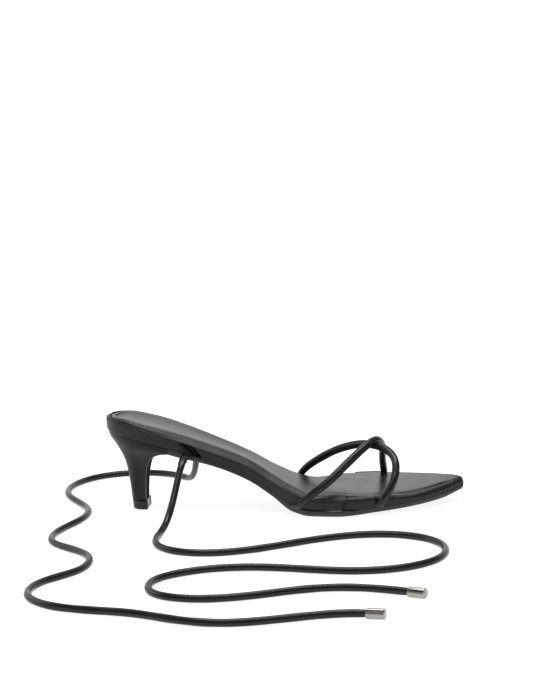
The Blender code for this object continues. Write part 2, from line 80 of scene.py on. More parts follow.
FLOOR_REACH = 6.0
FLOOR_TONE = (0.36, 0.36, 0.36, 1.0)
FLOOR_GLOW = 0.88
floor_mesh = bpy.data.meshes.new("floor")
corners = [(x * FLOOR_REACH, y * FLOOR_REACH, 0.0) for x, y in ((-1, -1), (1, -1), (1, 1), (-1, 1))]
floor_mesh.from_pydata(corners, [], [(0, 1, 2, 3)])
floor_finish = bpy.data.materials.new("pale_floor")
floor_finish.use_nodes = True
floor_shader = floor_finish.node_tree.nodes["Principled BSDF"]
floor_shader.inputs["Base Color"].default_value = FLOOR_TONE
floor_shader.inputs["Roughness"].default_value = 0.9
floor_shader.inputs["Specular IOR Level"].default_value = 0.0
floor_shader.inputs["Emission Color"].default_value = (1.0, 1.0, 1.0, 1.0)
floor_shader.inputs["Emission Strength"].default_value = FLOOR_GLOW
floor_mesh.materials.append(floor_finish)
floor = bpy.data.objects.new("floor", floor_mesh)
scene.collection.objects.link(floor)

SURROUNDINGS_FRONT, SURROUNDINGS_BEHIND = 0.2, 1.05
BRIGHTENS_FROM, BRIGHTENS_TO = 0.3, 0.95


def wire(tree, *joins):
    """Links of a node tree, each from one node's output to another node's input."""
    for source, output, target, socket in joins:
        tree.links.new(source.outputs[output], target.inputs[socket])


world = bpy.data.worlds.new("studio")
world.use_nodes = True
scene.world = world
nodes = world.node_tree.nodes
nodes.clear()
direction = nodes.new("ShaderNodeTexCoord")
split = nodes.new("ShaderNodeSeparateXYZ")
depth_light = nodes.new("ShaderNodeMapRange")
depth_light.interpolation_type = "SMOOTHSTEP"
depth_light.inputs["From Min"].default_value = BRIGHTENS_FROM
depth_light.inputs["From Max"].default_value = BRIGHTENS_TO
depth_light.inputs["To Min"].default_value = SURROUNDINGS_FRONT
depth_light.inputs["To Max"].default_value = SURROUNDINGS_BEHIND
surroundings = nodes.new("ShaderNodeBackground")
backdrop = nodes.new("ShaderNodeBackground")
for background in (surroundings, backdrop):
    background.inputs["Color"].default_value = (1.0, 1.0, 1.0, 1.0)
seen = nodes.new("ShaderNodeLightPath")
mix = nodes.new("ShaderNodeMixShader")
world_output = nodes.new("ShaderNodeOutputWorld")
wire(
    world.node_tree,
    (direction, "Generated", split, "Vector"),
    (split, "Y", depth_light, "Value"),
    (depth_light, "Result", surroundings, "Strength"),
    (seen, "Is Camera Ray", mix, "Fac"),
    (surroundings, "Background", mix, 1),
    (backdrop, "Background", mix, 2),
    (mix, "Shader", world_output, "Surface"),
)


def soft_box(name, place, size, brightness):
    """Area light aimed at the shoe; brightness is that of its face, with 1 for white."""
    light = bpy.data.lights.new(name, "AREA")
    light.shape = "RECTANGLE"
    light.size, light.size_y = size
    light.energy = brightness * math.pi * size[0] * size[1]
    made = bpy.data.objects.new(name, light)
    made.location = place
    made.rotation_mode = "QUATERNION"
    made.rotation_quaternion = (Vector(place) - AIM).to_track_quat("Z", "Y")
    scene.collection.objects.link(made)


soft_box("soft_box_overhead", (0.0, 0.1, 1.1), (0.9, 0.42), 7.5)
soft_box("soft_box_heel", (-1.0, 0.1, 0.45), (0.7, 0.7), 1.6)
soft_box("soft_box_front", (0.0, -0.55, 1.1), (0.9, 0.06), 18.0)

# Footbed: a stiff insole board on the last's curve, wrapped in thin black synthetic leather.
# The wrap is glued over the rim and folded under the edge, with pleats at the toe, wrinkles
# where straps and ties are tucked in, a slot beside each tie and a tab beside each front strap.
MM = 0.001
LENGTH = 250.0
MIDDLE = 0.65
GAP = 0.3
LAST_COLUMNS = ("x", "shoulder", "rise", "rim", "seam", "sole", "lateral", "medial", "lean")
LAST = (
    (0.0, 67.5, 0.4, 2.0, 59.4, 57.2, 0.0, 0.0, 0.0),
    (5.0, 67.0, 0.7, 2.6, 58.3, 56.0, 13.4, 13.2, 0.0),
    (14.0, 65.5, 1.6, 3.8, 56.0, 53.5, 20.1, 20.0, 0.0),
    (30.0, 60.6, 2.5, 5.2, 52.2, 48.8, 24.6, 24.4, 0.0),
    (50.0, 54.2, 3.0, 6.2, 46.4, 41.6, 24.8, 23.7, 0.0),
    (75.0, 44.8, 3.1, 6.4, 37.5, 34.4, 23.4, 20.5, 0.0),
    (100.0, 34.5, 3.0, 6.4, 26.3, 23.8, 23.2, 16.1, 0.0),
    (118.0, 23.6, 3.2, 6.2, 15.9, 12.4, 26.7, 17.3, 0.0),
    (132.0, 16.7, 2.6, 6.0, 7.8, 2.6, 31.6, 21.6, 0.0),
    (144.5, 12.9, 2.3, 6.0, 5.4, 0.0, 35.5, 26.6, 0.4),
    (153.0, 12.0, 2.9, 6.0, 5.3, 0.0, 37.3, 30.5, 1.0),
    (163.7, 12.9, 2.2, 5.6, 5.3, 0.0, 38.4, 34.9, 0.8),
    (190.0, 13.2, 0.8, 2.6, 6.0, 1.9, 34.6, 38.0, 1.0),
    (215.0, 12.8, 1.7, 2.6, 7.0, 3.2, 24.2, 32.8, 2.6),
    (235.0, 13.6, 2.4, 2.6, 8.2, 4.5, 8.8, 21.8, 2.4),
    (245.0, 14.6, 2.1, 2.4, 9.8, 6.7, -0.9, 14.4, 1.0),
    (250.0, 13.9, 2.7, 2.3, 11.0, 8.4, -7.3, 7.3, 0.0),
)
LAST_TABLE = dict(zip(LAST_COLUMNS, np.array(LAST).T))
RISE_SHARES = {"shoulder": 0.0, "slope": 0.58, "crown": 1.0}
WELT_SHARE = 0.45
STATIONS = 360
# A section runs from under the edge, up the side and over the rim into the recess for the sock.
# Its columns: inset from the edge, share of the rim's width added to it, level, height above that.
UNDER_EDGE = (
    (3.4, 0.0, "seam", -0.25),
    (0.0, 0.0, "seam", -0.25),
    (0.0, 0.0, "seam", 0.15),
)
SOCK_RECESS = (
    (0.0, 1.0, "crown", -0.45),
    (0.1, 1.0, "crown", -1.6),
)
FOOTBED_SECTION = (
    *UNDER_EDGE,
    (0.0, 0.0, "seam", 0.9),
    (0.0, 0.0, "seam", 3.0),
    (0.0, 0.0, "shoulder", -2.6),
    (0.0, 0.0, "shoulder", -0.9),
    (0.2, 0.0, "shoulder", -0.1),
    (0.9, 0.06, "shoulder", 0.2),
    (0.4, 0.4, "slope", 0.0),
    (-0.3, 0.75, "crown", -0.25),
    (-1.0, 1.0, "crown", 0.0),
    (-0.3, 1.0, "crown", 0.05),
    *SOCK_RECESS,
)
TOE_SECTION = (
    *UNDER_EDGE,
    (0.0, 0.0, "seam", 0.8),
    (0.0, 0.0, "seam", 1.4),
    (0.0, 0.0, "shoulder", -1.4),
    (0.0, 0.0, "shoulder", -0.7),
    (0.0, 0.1, "shoulder", 0.1),
    (0.0, 0.28, "slope", -0.25),
    (0.0, 0.5, "crown", -0.55),
    (0.0, 0.75, "crown", -0.12),
    (-0.4, 1.0, "crown", 0.0),
    (-0.2, 1.0, "crown", 0.02),
    *SOCK_RECESS,
)
TOE_FROM, TOE_TO = 186.0, 210.0
UNDER_ROW, SEAM_ROW, SHOULDER_ROW, CROWN_ROW = 1.3, 2.0, 7.5, 11.0
ROW_STEPS = 6


def angle_of(x):
    """Station angle of a distance from the heel: stations crowd at heel and toe."""
    return np.arccos(np.clip(1.0 - 2.0 * np.asarray(x) / LENGTH, -1.0, 1.0))


def distance_of(angle):
    """Distance from the heel's back at a station angle."""
    return LENGTH * (1.0 - np.cos(angle)) / 2.0


def run_along(points):
    """Distance run along a line of points, from its start to each of them."""
    return np.concatenate(([0.0], np.cumsum(np.linalg.norm(np.diff(points, axis=0), axis=1))))


def unit(vectors):
    """Vectors of length 1 in the same directions."""
    return vectors / np.linalg.norm(vectors, axis=-1, keepdims=True)


def slopes_level(knots, values):
    """Slopes that never overshoot, so that level stretches stay level."""
    steps = np.diff(values) / np.diff(knots)
    inner = np.zeros(len(knots) - 2)
    same = steps[:-1] * steps[1:] > 0.0
    inner[same] = 2.0 / (1.0 / steps[:-1][same] + 1.0 / steps[1:][same])
    return np.concatenate(([steps[0]], inner, [steps[-1]]))


def slopes_fair(knots, values):
    """Slopes of the natural cubic spline, for fair outlines."""
    count = len(knots)
    widths = np.diff(knots)
    steps = np.diff(values) / widths
    system = np.zeros((count, count))
    right = np.zeros(count)
    system[0, :2] = 2.0, 1.0
    right[0] = 3.0 * steps[0]
    system[-1, -2:] = 1.0, 2.0
    right[-1] = 3.0 * steps[-1]
    for i in range(1, count - 1):
        system[i, i - 1:i + 2] = widths[i], 2.0 * (widths[i - 1] + widths[i]), widths[i - 1]
        right[i] = 3.0 * (widths[i] * steps[i - 1] + widths[i - 1] * steps[i])
    return np.linalg.solve(system, right)


def hermite(knots, values, slopes, where):
    """Cubic through the knots with the given slopes."""
    i = np.clip(np.searchsorted(knots, where) - 1, 0, len(knots) - 2)
    width = knots[i + 1] - knots[i]
    s = (where - knots[i]) / width
    start = (1.0 + 2.0 * s) * (1.0 - s) ** 2 * values[i] + s * (1.0 - s) ** 2 * width * slopes[i]
    end = s * s * (3.0 - 2.0 * s) * values[i + 1] - s * s * (1.0 - s) * width * slopes[i + 1]
    return start + end


LAST_ANGLES = angle_of(LAST_TABLE["x"])
LAST_SLOPES = {
    name: (slopes_fair if name in ("lateral", "medial") else slopes_level)(LAST_ANGLES, LAST_TABLE[name])
    for name in LAST_COLUMNS[1:]
}


def last(name, angle):
    """A column of the last's table at a station angle."""
    return hermite(LAST_ANGLES, LAST_TABLE[name], LAST_SLOPES[name], angle)


def level_height(level, x, sides):
    """Height of a named level of the last at a distance from the heel's back, on one side."""
    angle = angle_of(x)
    if level in RISE_SHARES:
        lowered = np.where(sides < 0, last("lean", angle), 0.0)
        return last("shoulder", angle) + RISE_SHARES[level] * last("rise", angle) - lowered
    if level == "welt":
        return (1.0 - WELT_SHARE) * last("sole", angle) + WELT_SHARE * (last("seam", angle) - GAP)
    return last(level, angle)


def edge_points(angles, sides):
    """Plan points of the footbed's edge; a side is -1 for lateral and 1 for medial."""
    half_widths = np.where(sides < 0, last("lateral", angles), last("medial", angles))
    return np.column_stack((distance_of(angles), sides * half_widths))


def inward_directions(angles, sides):
    """Plan directions square to the footbed's edge, pointing inwards."""
    step = 1e-4
    before = edge_points(np.maximum(angles - step, 0.0), sides)
    after = edge_points(np.minimum(angles + step, math.pi), sides)
    along = unit(after - before)
    return np.column_stack((along[:, 1], -along[:, 0])) * sides[:, None]


def sole_loop(stations, start=0.0):
    """Angles and sides of a closed loop: the lateral side to the toe, the medial side back."""
    angles = np.linspace(float(angle_of(start)), math.pi, stations + 1)
    returning = angles[-2::-1] if start else angles[-2:0:-1]
    sides = np.concatenate((-np.ones(len(angles)), np.ones(len(returning))))
    return np.concatenate((angles, returning)), sides


def section_rings(section, angles, sides, square_start=False):
    """One ring of points around the sole for each row of a section."""
    edge = edge_points(angles, sides)
    inwards = inward_directions(angles, sides)
    if square_start:
        inwards[0] = 0.0, 1.0
        inwards[-1] = 0.0, -1.0
    rings = []
    for inset, rim_share, level, above in section:
        reach = inset + rim_share * last("rim", angles)
        plan = edge + reach[:, None] * inwards
        rings.append(np.column_stack((plan, level_height(level, plan[:, 0], sides) + above)))
    return np.array(rings)


def rounded(rings, steps):
    """Finer rings on soft curves between the given ones, and where each lies among them."""
    made, places = [rings[0]], [0.0]
    final = len(rings) - 1
    for i in range(1, final):
        start = rings[0] if i == 1 else (rings[i - 1] + rings[i]) / 2.0
        end = rings[final] if i == final - 1 else (rings[i] + rings[i + 1]) / 2.0
        start_place = 0.0 if i == 1 else i - 0.5
        end_place = float(final) if i == final - 1 else i + 0.5
        for s in np.arange(1, steps + 1) / steps:
            made.append((1.0 - s) ** 2 * start + 2.0 * s * (1.0 - s) * rings[i] + s * s * end)
            places.append(start_place + s * (end_place - start_place))
    return np.array(made), np.array(places)


def ring_normals(rings):
    """Outward directions at the points of a stack of rings."""
    along = np.roll(rings, -1, axis=1) - np.roll(rings, 1, axis=1)
    upward = np.gradient(rings, axis=0)
    normals = np.cross(along, upward)
    return normals / np.maximum(np.linalg.norm(normals, axis=2), 1e-9)[:, :, None]


def smooth_step(value):
    """0 below 0, 1 above 1, soft between."""
    s = np.clip(value, 0.0, 1.0)
    return s * s * (3.0 - 2.0 * s)


def risen(x, start, full):
    """0 up to the start, 1 from where it is full, soft between."""
    return smooth_step((x - start) / (full - start))


def on_stretch(x, start, full, fading, gone):
    """1 along a stretch of the shoe's length, running out softly at both ends."""
    return risen(x, start, full) * (1.0 - risen(x, fading, gone))


def uneven(where, wavelength, seed):
    """Smooth hand-made unevenness, mostly between -1 and 1, the same on each run."""
    chance = np.random.default_rng(seed)
    rates = chance.uniform(0.6, 1.7, 5) * 2.0 * math.pi / wavelength
    phases = chance.uniform(0.0, 2.0 * math.pi, 5)
    return 1.6 * np.sin(np.multiply.outer(where, rates) + phases).mean(axis=-1)


def metres(points):
    """Points in metres in the shoe's frame, whose origin is under its middle."""
    return (np.asarray(points) - (LENGTH / 2.0, MIDDLE, 0.0)) * MM


def loft(name, rings, columns, sag=None):
    """Closed mesh through rings of points, lowest first; rows of facets close both ends."""
    count, around = rings.shape[:2]
    points = list(rings.reshape(-1, 3))
    faces = []
    for low in range(0, (count - 1) * around, around):
        for here in range(around):
            there = (here + 1) % around
            faces.append((low + here, low + there, low + around + there, low + around + here))
    for ring in (0, count - 1):
        rows = []
        for here in range(around // 2 + 1):
            partner = around - 1 - here if around % 2 else (around - here) % around
            if partner == here:
                rows.append([ring * around + here])
                continue
            shares = np.arange(1, columns) / columns
            if around % 2 and here == 0:
                shares = shares[:0]
            across = rings[ring, here] + shares[:, None] * (rings[ring, partner] - rings[ring, here])
            if sag and ring:
                across[:, 2] += sag(across[:, 0], shares)
            inner = range(len(points), len(points) + len(across))
            points.extend(across)
            rows.append([ring * around + here, *inner, ring * around + partner])
        closing = []
        for near, far in zip(rows, rows[1:]):
            if len(near) == 1:
                closing += [(near[0], a, b) for a, b in zip(far, far[1:])]
            elif len(far) == 1:
                closing += [(a, far[0], b) for a, b in zip(near, near[1:])]
            elif len(near) != len(far):
                closing.append((near[0], *far, near[-1]))
            else:
                closing += [(d, c, b, a) for a, b, c, d in zip(near, near[1:], far[1:], far)]
        faces += closing if ring else [face[::-1] for face in closing]
    mesh = bpy.data.meshes.new(name)
    mesh.from_pydata(metres(points), [], faces)
    mesh.shade_smooth()
    return mesh


def piece(name, mesh, material, node):
    """Object of a finished piece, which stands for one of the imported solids."""
    mesh.materials.append(material)
    made = bpy.data.objects.new(name, mesh)
    scene.collection.objects.link(made)
    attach(made, "root")
    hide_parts(node)
    return made


def pattern(finish, kind, scale, detail):
    """Texture of a finish on the piece's own coordinates; the scale is in cells per metre."""
    nodes = finish.node_tree.nodes
    place = nodes.get("piece_place")
    if not place:
        place = nodes.new("ShaderNodeTexCoord")
        place.name = "piece_place"
    made = nodes.new(kind)
    made.inputs["Scale"].default_value = scale
    made.inputs["Detail"].default_value = detail
    wire(finish.node_tree, (place, "Object", made, "Vector"))
    return made


def uneven_tone(finish, noise, dark, light, start=0.3, end=0.7):
    """Colour that runs from a dark to a light tone between two levels of a noise."""
    nodes = finish.node_tree.nodes
    tones = nodes.new("ShaderNodeValToRGB")
    for element, level, tone in zip(tones.color_ramp.elements, (start, end), (dark, light)):
        element.position = level
        element.color = (*tone, 1.0)
    shader = nodes["Principled BSDF"]
    wire(finish.node_tree, (noise, "Fac", tones, "Fac"), (tones, "Color", shader, "Base Color"))


def uneven_gloss(finish, noise, smooth, rough, start=0.3, end=0.7):
    """Roughness that runs from smooth to rough between two levels of a noise."""
    nodes = finish.node_tree.nodes
    gloss = nodes.new("ShaderNodeMapRange")
    for socket, value in zip(("From Min", "From Max", "To Min", "To Max"), (start, end, smooth, rough)):
        gloss.inputs[socket].default_value = value
    shader = nodes["Principled BSDF"]
    wire(finish.node_tree, (noise, "Fac", gloss, "Value"), (gloss, "Result", shader, "Roughness"))


PORES_PER_GRAIN, PATCHES_PER_METRE = 2.4, 90.0
GLOSS_CHANGE, TONE_CHANGE = 0.03, 0.12


def black_leather(name, tone, roughness, grain, depth, shine):
    """Thin black leather: pebbled grain of the given size and depth, gloss and tone a little uneven."""
    made = bpy.data.materials.new(name)
    made.use_nodes = True
    nodes = made.node_tree.nodes
    shader = nodes["Principled BSDF"]
    shader.inputs["Specular IOR Level"].default_value = shine
    pebbles = pattern(made, "ShaderNodeTexVoronoi", 1.0 / (grain * MM), 0.0)
    pores = pattern(made, "ShaderNodeTexNoise", PORES_PER_GRAIN / (grain * MM), 3.0)
    height = nodes.new("ShaderNodeMath")
    height.operation = "ADD"
    bump = nodes.new("ShaderNodeBump")
    bump.inputs["Distance"].default_value = depth * MM
    wire(
        made.node_tree,
        (pebbles, "Distance", height, 0),
        (pores, "Fac", height, 1),
        (height, "Value", bump, "Height"),
        (bump, "Normal", shader, "Normal"),
    )
    patches = pattern(made, "ShaderNodeTexNoise", PATCHES_PER_METRE, 1.0)
    uneven_gloss(made, patches, roughness - GLOSS_CHANGE, roughness + GLOSS_CHANGE)
    dark, light = ([share * c for c in tone] for share in (1.0 - TONE_CHANGE, 1.0 + TONE_CHANGE))
    uneven_tone(made, patches, dark, light)
    return made


footbed_angles, footbed_sides = sole_loop(STATIONS)
station_x = distance_of(footbed_angles)
rolled_rim = section_rings(FOOTBED_SECTION, footbed_angles, footbed_sides)
round_toe = section_rings(TOE_SECTION, footbed_angles, footbed_sides)
toe_share = risen(station_x, TOE_FROM, TOE_TO)[:, None]
footbed_rings, footbed_rows = rounded(rolled_rim + toe_share * (round_toe - rolled_rim), ROW_STEPS)
edge_run = run_along(edge_points(footbed_angles, footbed_sides))
row_place = footbed_rows[:, None]
above_seam = footbed_rings[:, :, 2] - level_height("seam", station_x, footbed_sides)
relief = np.zeros(above_seam.shape)

BACK_BULGE, BULGE_REACH = 1.1, 22.0
BULGE_ROWS = (0.0, 1.6, 3.0, 5.5, 7.5, 9.5, 11.0)
BULGE_SHARES = (0.0, 0.0, 0.8, 1.0, 0.9, 0.4, 0.0)
bulge = np.interp(row_place, BULGE_ROWS, BULGE_SHARES)
relief += BACK_BULGE * bulge * (1.0 - risen(station_x, 0.0, BULGE_REACH))

RIM_BEAD, BEAD_FROM, BEAD_FADES, BEAD_GONE = 0.6, 1.0, 38.0, 60.0
rim_place = (row_place - SHOULDER_ROW) / (CROWN_ROW - SHOULDER_ROW)
at_heel = 1.0 - risen(station_x, BEAD_FADES, BEAD_GONE)
relief += RIM_BEAD * at_heel * np.sin(math.pi * np.clip(rim_place, 0.0, 1.0)) * (station_x > BEAD_FROM)

FOREFOOT_STRETCH = (116.0, 132.0, 167.0, 173.0)
WAIST_STRETCH = (30.0, 55.0, 172.0, 180.0)
at_forefoot = on_stretch(station_x, *FOREFOOT_STRETCH)
at_waist = on_stretch(station_x, *WAIST_STRETCH)
GROOVE_WANDER, WANDER_LENGTH = 0.02, 50.0
GROOVE_CHANGE, CHANGE_LENGTH = 0.15, 35.0
RIM_GROOVES = (
    (0.02, 0.36, 0.07, at_heel, 11),
    (0.22, 0.38, 0.06, at_forefoot, 12),
    (0.84, 0.34, 0.09, at_waist * (1.0 - 0.5 * at_forefoot), 13),
    (0.36, 0.07, 0.05, at_waist, 14),
    (0.58, 0.07, 0.05, at_waist, 15),
)
for share, deep, width, stretch, seed in RIM_GROOVES:
    middle = share + GROOVE_WANDER * uneven(edge_run, WANDER_LENGTH, seed)
    change = 1.0 - GROOVE_CHANGE + GROOVE_CHANGE * uneven(edge_run, CHANGE_LENGTH, seed + 10)
    relief -= deep * stretch * change * np.exp(-(((rim_place - middle) / width) ** 2))

SLOT_HEAD, SLOT_FOOT, SLOT_DEPTH, SLOT_WIDTH = (57.6, 7.4), (66.6, 0.8), 3.6, 2.1
slot_run, slot_fall = np.subtract(SLOT_FOOT, SLOT_HEAD)
slot_share = (station_x - SLOT_HEAD[0]) * slot_run + (above_seam - SLOT_HEAD[1]) * slot_fall
slot_share = np.clip(slot_share / (slot_run ** 2 + slot_fall ** 2), 0.0, 1.0)
slot_gap = np.hypot(
    station_x - SLOT_HEAD[0] - slot_share * slot_run,
    above_seam - SLOT_HEAD[1] - slot_share * slot_fall,
)
slot = np.exp(-((slot_gap / SLOT_WIDTH) ** 2))
relief -= SLOT_DEPTH * slot * smooth_step(row_place - SEAM_ROW) * smooth_step(SHOULDER_ROW - row_place)

on_side = smooth_step(row_place - UNDER_ROW)
NICK_DEPTH, NICK_PITCH, NICK_HEIGHT = 0.3, 5.0, 1.3
NICKS_FADE, NICKS_GONE = 58.0, 70.0
nicks = np.clip(uneven(edge_run, NICK_PITCH, 31), 0.0, 1.0)
nicks = nicks * (1.0 - risen(station_x, NICKS_FADE, NICKS_GONE))
relief -= NICK_DEPTH * nicks * np.exp(-((above_seam / NICK_HEIGHT) ** 2)) * on_side

TUCK_REACH, TUCK_PITCH, TUCK_LEAN, TUCK_HEIGHT = 8.0, 2.4, 0.5, 3.2
TUCKS = (
    (59.0, -1, 0.45),
    (58.0, 1, 0.45),
    (138.0, -1, 0.5),
    (193.0, -1, 0.5),
    (130.5, 1, 0.4),
    (193.4, 1, 0.4),
)
for tuck_x, side, tuck_depth in TUCKS:
    near = np.exp(-(((station_x - tuck_x) / TUCK_REACH) ** 2)) * (footbed_sides == side)
    ripple = np.sin(2.0 * math.pi * (station_x - tuck_x + TUCK_LEAN * above_seam) / TUCK_PITCH)
    relief += tuck_depth * near * ripple * np.exp(-((above_seam / TUCK_HEIGHT) ** 2)) * on_side

PLEAT_DEPTH, PLEAT_PITCH, PLEAT_HEIGHT = 0.28, 2.8, 3.4
PLEATS_START, PLEATS_FULL = 205.0, 230.0
PLEAT_WANDER, PLEAT_WANDER_LENGTH = 1.6, 9.0
wander = PLEAT_WANDER * uneven(edge_run, PLEAT_WANDER_LENGTH, 41)
pleats = np.sin(2.0 * math.pi * edge_run / PLEAT_PITCH + wander)
pleats = pleats * risen(station_x, PLEATS_START, PLEATS_FULL)
relief += PLEAT_DEPTH * pleats * np.exp(-((above_seam / PLEAT_HEIGHT) ** 2)) * on_side

TAB_START, TAB_LEAN, TAB_STEP = 166.5, 0.55, 0.9
TAB_FADES, TAB_GONE = 189.0, 193.0
TAB_HEIGHT, TAB_TOP_ROW, TAB_TOP_SOFT = 1.2, 9.7, 1.2
TAB_GAP, TAB_GAP_ROW, TAB_GAP_WIDTH = 2.5, 10.4, 0.5
tab = smooth_step((station_x - TAB_START - TAB_LEAN * above_seam) / TAB_STEP)
tab = tab * (1.0 - risen(station_x, TAB_FADES, TAB_GONE))
tab_top = smooth_step((TAB_TOP_ROW - row_place) / TAB_TOP_SOFT)
relief += TAB_HEIGHT * tab * smooth_step(row_place - SEAM_ROW) * tab_top
relief -= TAB_GAP * tab * np.exp(-(((row_place - TAB_GAP_ROW) / TAB_GAP_WIDTH) ** 2))

footbed_rings = footbed_rings + relief[:, :, None] * ring_normals(footbed_rings)

HEEL_DISH, DISH_FROM, DISH_TO = 1.2, 60.0, 140.0


def dish(x, share):
    """Hollow of the footbed under the heel of the foot, at a share of the width."""
    depth = HEEL_DISH * (1.0 - risen(x, DISH_FROM, DISH_TO))
    return -depth * 4.0 * share * (1.0 - share)


footbed_wrap = black_leather("footbed_wrap", (0.008, 0.008, 0.0084), 0.42, 0.55, 0.012, 0.38)
footbed_mesh = loft("footbed_wrapped", footbed_rings, 8, dish)
piece("footbed_wrapped", footbed_mesh, footbed_wrap, "footbed")

# Sock: the lining that the foot stands on, soft black leather over a thin pad.
# It is cut to the recess of the footbed, glued down, and rounded over at its edge; towards the
# toe the groove around it closes and the lining runs flush into the rim.
SOCK_SECTION = (
    (1.2, 1.0, "crown", -1.3),
    (0.55, 1.0, "crown", -1.2),
    (0.45, 1.0, "crown", -0.6),
    (0.6, 1.0, "crown", 0.0),
    (1.2, 1.0, "crown", 0.42),
    (2.4, 1.0, "crown", 0.5),
    (3.4, 1.0, "crown", 0.5),
)
sock_section = section_rings(SOCK_SECTION, footbed_angles, footbed_sides)
outwards = -inward_directions(footbed_angles, footbed_sides)
TIP_FROM, TIP_TO, TIP_INSET, TIP_DRAWN = 238.0, 247.0, 1.0, 0.85
at_tip = risen(station_x, TIP_FROM, TIP_TO)
for ring, (inset, *_) in zip(sock_section, SOCK_SECTION):
    ring[:, :2] += TIP_DRAWN * max(inset - TIP_INSET, 0.0) * at_tip[:, None] * outwards
sock_rings = rounded(sock_section, 4)[0]
FLUSH_FROM, FLUSH_TO, FLUSH_OUT, FLUSH_DOWN = 185.0, 215.0, 0.7, 0.5
flush = risen(station_x, FLUSH_FROM, FLUSH_TO)
sock_rings[:, :, :2] += FLUSH_OUT * (flush[:, None] * outwards)
sock_rings[:, :, 2] -= FLUSH_DOWN * flush
EDGE_ROLL, ROLL_SHARE = 30, 0.5


def sock_top(x, share):
    """The footbed's hollow, and a top that tilts a little and rolls down beside the lateral edge."""
    away = 1.0 - share
    return dish(x, share) + ROLL_SHARE * last("lean", angle_of(x)) * (away - away ** EDGE_ROLL)


sock_lining = black_leather("sock_lining", (0.016, 0.016, 0.0165), 0.30, 0.45, 0.006, 0.61)
sock_mesh = loft("sock_lining", sock_rings, 48, sock_top)
sock = piece("sock_lining", sock_mesh, sock_lining, "sock")

# Upper: two rolled leather cords that cross over the forefoot, the lower one joined to the upper
# one at the crossing. Each is a strip rolled round a core and sewn along one seam, and its
# ends are pressed flat and tucked into the seam under the footbed.
CORD = 4.8
# A strap's route, with its thickness as a share of the cord's: thinner where it is pressed flat.
STRAP_OVER = (
    (133.6, -25.0, 6.6, 0.50),
    (134.2, -30.8, 6.6, 0.55),
    (136.0, -34.8, 7.7, 0.70),
    (139.4, -36.6, 10.4, 0.90),
    (142.6, -37.2, 13.0, 1.04),
    (146.4, -37.4, 16.2, 1.14),
    (153.0, -36.3, 20.8, 1.18),
    (161.3, -32.0, 26.8, 1.20),
    (168.6, -26.0, 32.8, 1.20),
    (176.9, -18.2, 39.3, 1.20),
    (184.4, -9.8, 44.4, 1.18),
    (190.2, -1.6, 46.0, 1.16),
    (192.9, 5.6, 42.6, 1.14),
    (193.4, 13.8, 37.0, 1.12),
    (192.9, 21.6, 31.0, 1.12),
    (192.4, 29.4, 24.0, 1.12),
    (192.5, 36.4, 16.8, 1.12),
    (192.6, 39.9, 11.5, 1.0),
    (192.7, 38.8, 8.0, 0.78),
    (192.8, 34.4, 6.0, 0.58),
    (192.9, 28.0, 5.7, 0.50),
)
STRAP_UNDER = (
    (128.6, 11.4, 9.6, 0.50),
    (129.0, 17.2, 9.5, 0.50),
    (129.8, 21.8, 10.9, 0.70),
    (131.9, 24.4, 14.3, 0.96),
    (135.9, 25.3, 19.4, 1.12),
    (142.8, 23.8, 25.0, 1.18),
    (151.4, 20.4, 30.6, 1.20),
    (160.8, 16.4, 35.6, 1.20),
    (170.0, 11.8, 39.2, 1.20),
    (179.2, 5.6, 41.8, 1.20),
    (187.9, -1.7, 42.6, 1.20),
    (196.3, -9.0, 41.2, 1.18),
    (202.2, -16.2, 37.6, 1.16),
    (204.4, -23.0, 32.4, 1.14),
    (203.8, -28.8, 26.4, 1.14),
    (201.2, -33.2, 20.0, 1.14),
    (197.9, -35.4, 14.8, 1.10),
    (195.2, -35.8, 11.2, 0.96),
    (193.4, -35.2, 8.4, 0.76),
    (191.8, -32.8, 6.6, 0.58),
    (190.6, -29.0, 5.9, 0.50),
    (189.8, -24.6, 5.8, 0.50),
)
CORD_SIDES, CORD_SPACING, FINE_STEPS = 32, 0.8, 40
SEAM_DEPTH, SEAM_WIDTH = 0.3, 0.4
SEAM_WANDER, SEAM_WANDER_LENGTH = 0.35, 70.0
BEND_WRINKLE, WRINKLE_PITCH, FULL_WRINKLE_BEND = 0.14, 1.9, 2.0
WRINKLE_WANDER, WRINKLE_WANDER_LENGTH = 2.0, 12.0
LUMPS, LUMP_LENGTH = 0.018, 24.0
FLARE, GATHERS_ROUND, GATHER_HEIGHT = 0.9, 7, 0.9
GATHER_WANDER, GATHER_WANDER_LENGTH = 3.0, 16.0
STITCH_LIFT = 0.06


def fair_route(points, spacing):
    """Evenly spaced points on a fair curve through the route's own points."""
    points = np.array(points)
    knots = run_along(points[:, :3])
    where = np.linspace(0.0, knots[-1], FINE_STEPS * len(knots))
    fine = np.array([hermite(knots, column, slopes_fair(knots, column), where) for column in points.T]).T
    reached = run_along(fine[:, :3])
    wanted = np.linspace(0.0, reached[-1], int(round(reached[-1] / spacing)) + 1)
    return np.array([np.interp(wanted, reached, column) for column in fine.T]).T


def cord_frames(centres):
    """Tangents of a cord, and two directions across it that never spin."""
    tangents = unit(np.gradient(centres, axis=0))
    across = np.cross(tangents[0], (0.0, 0.0, 1.0))
    firsts = []
    for tangent in tangents:
        across = unit(across - tangent * (across @ tangent))
        firsts.append(across)
    firsts = np.array(firsts)
    return tangents, firsts, np.cross(tangents, firsts)


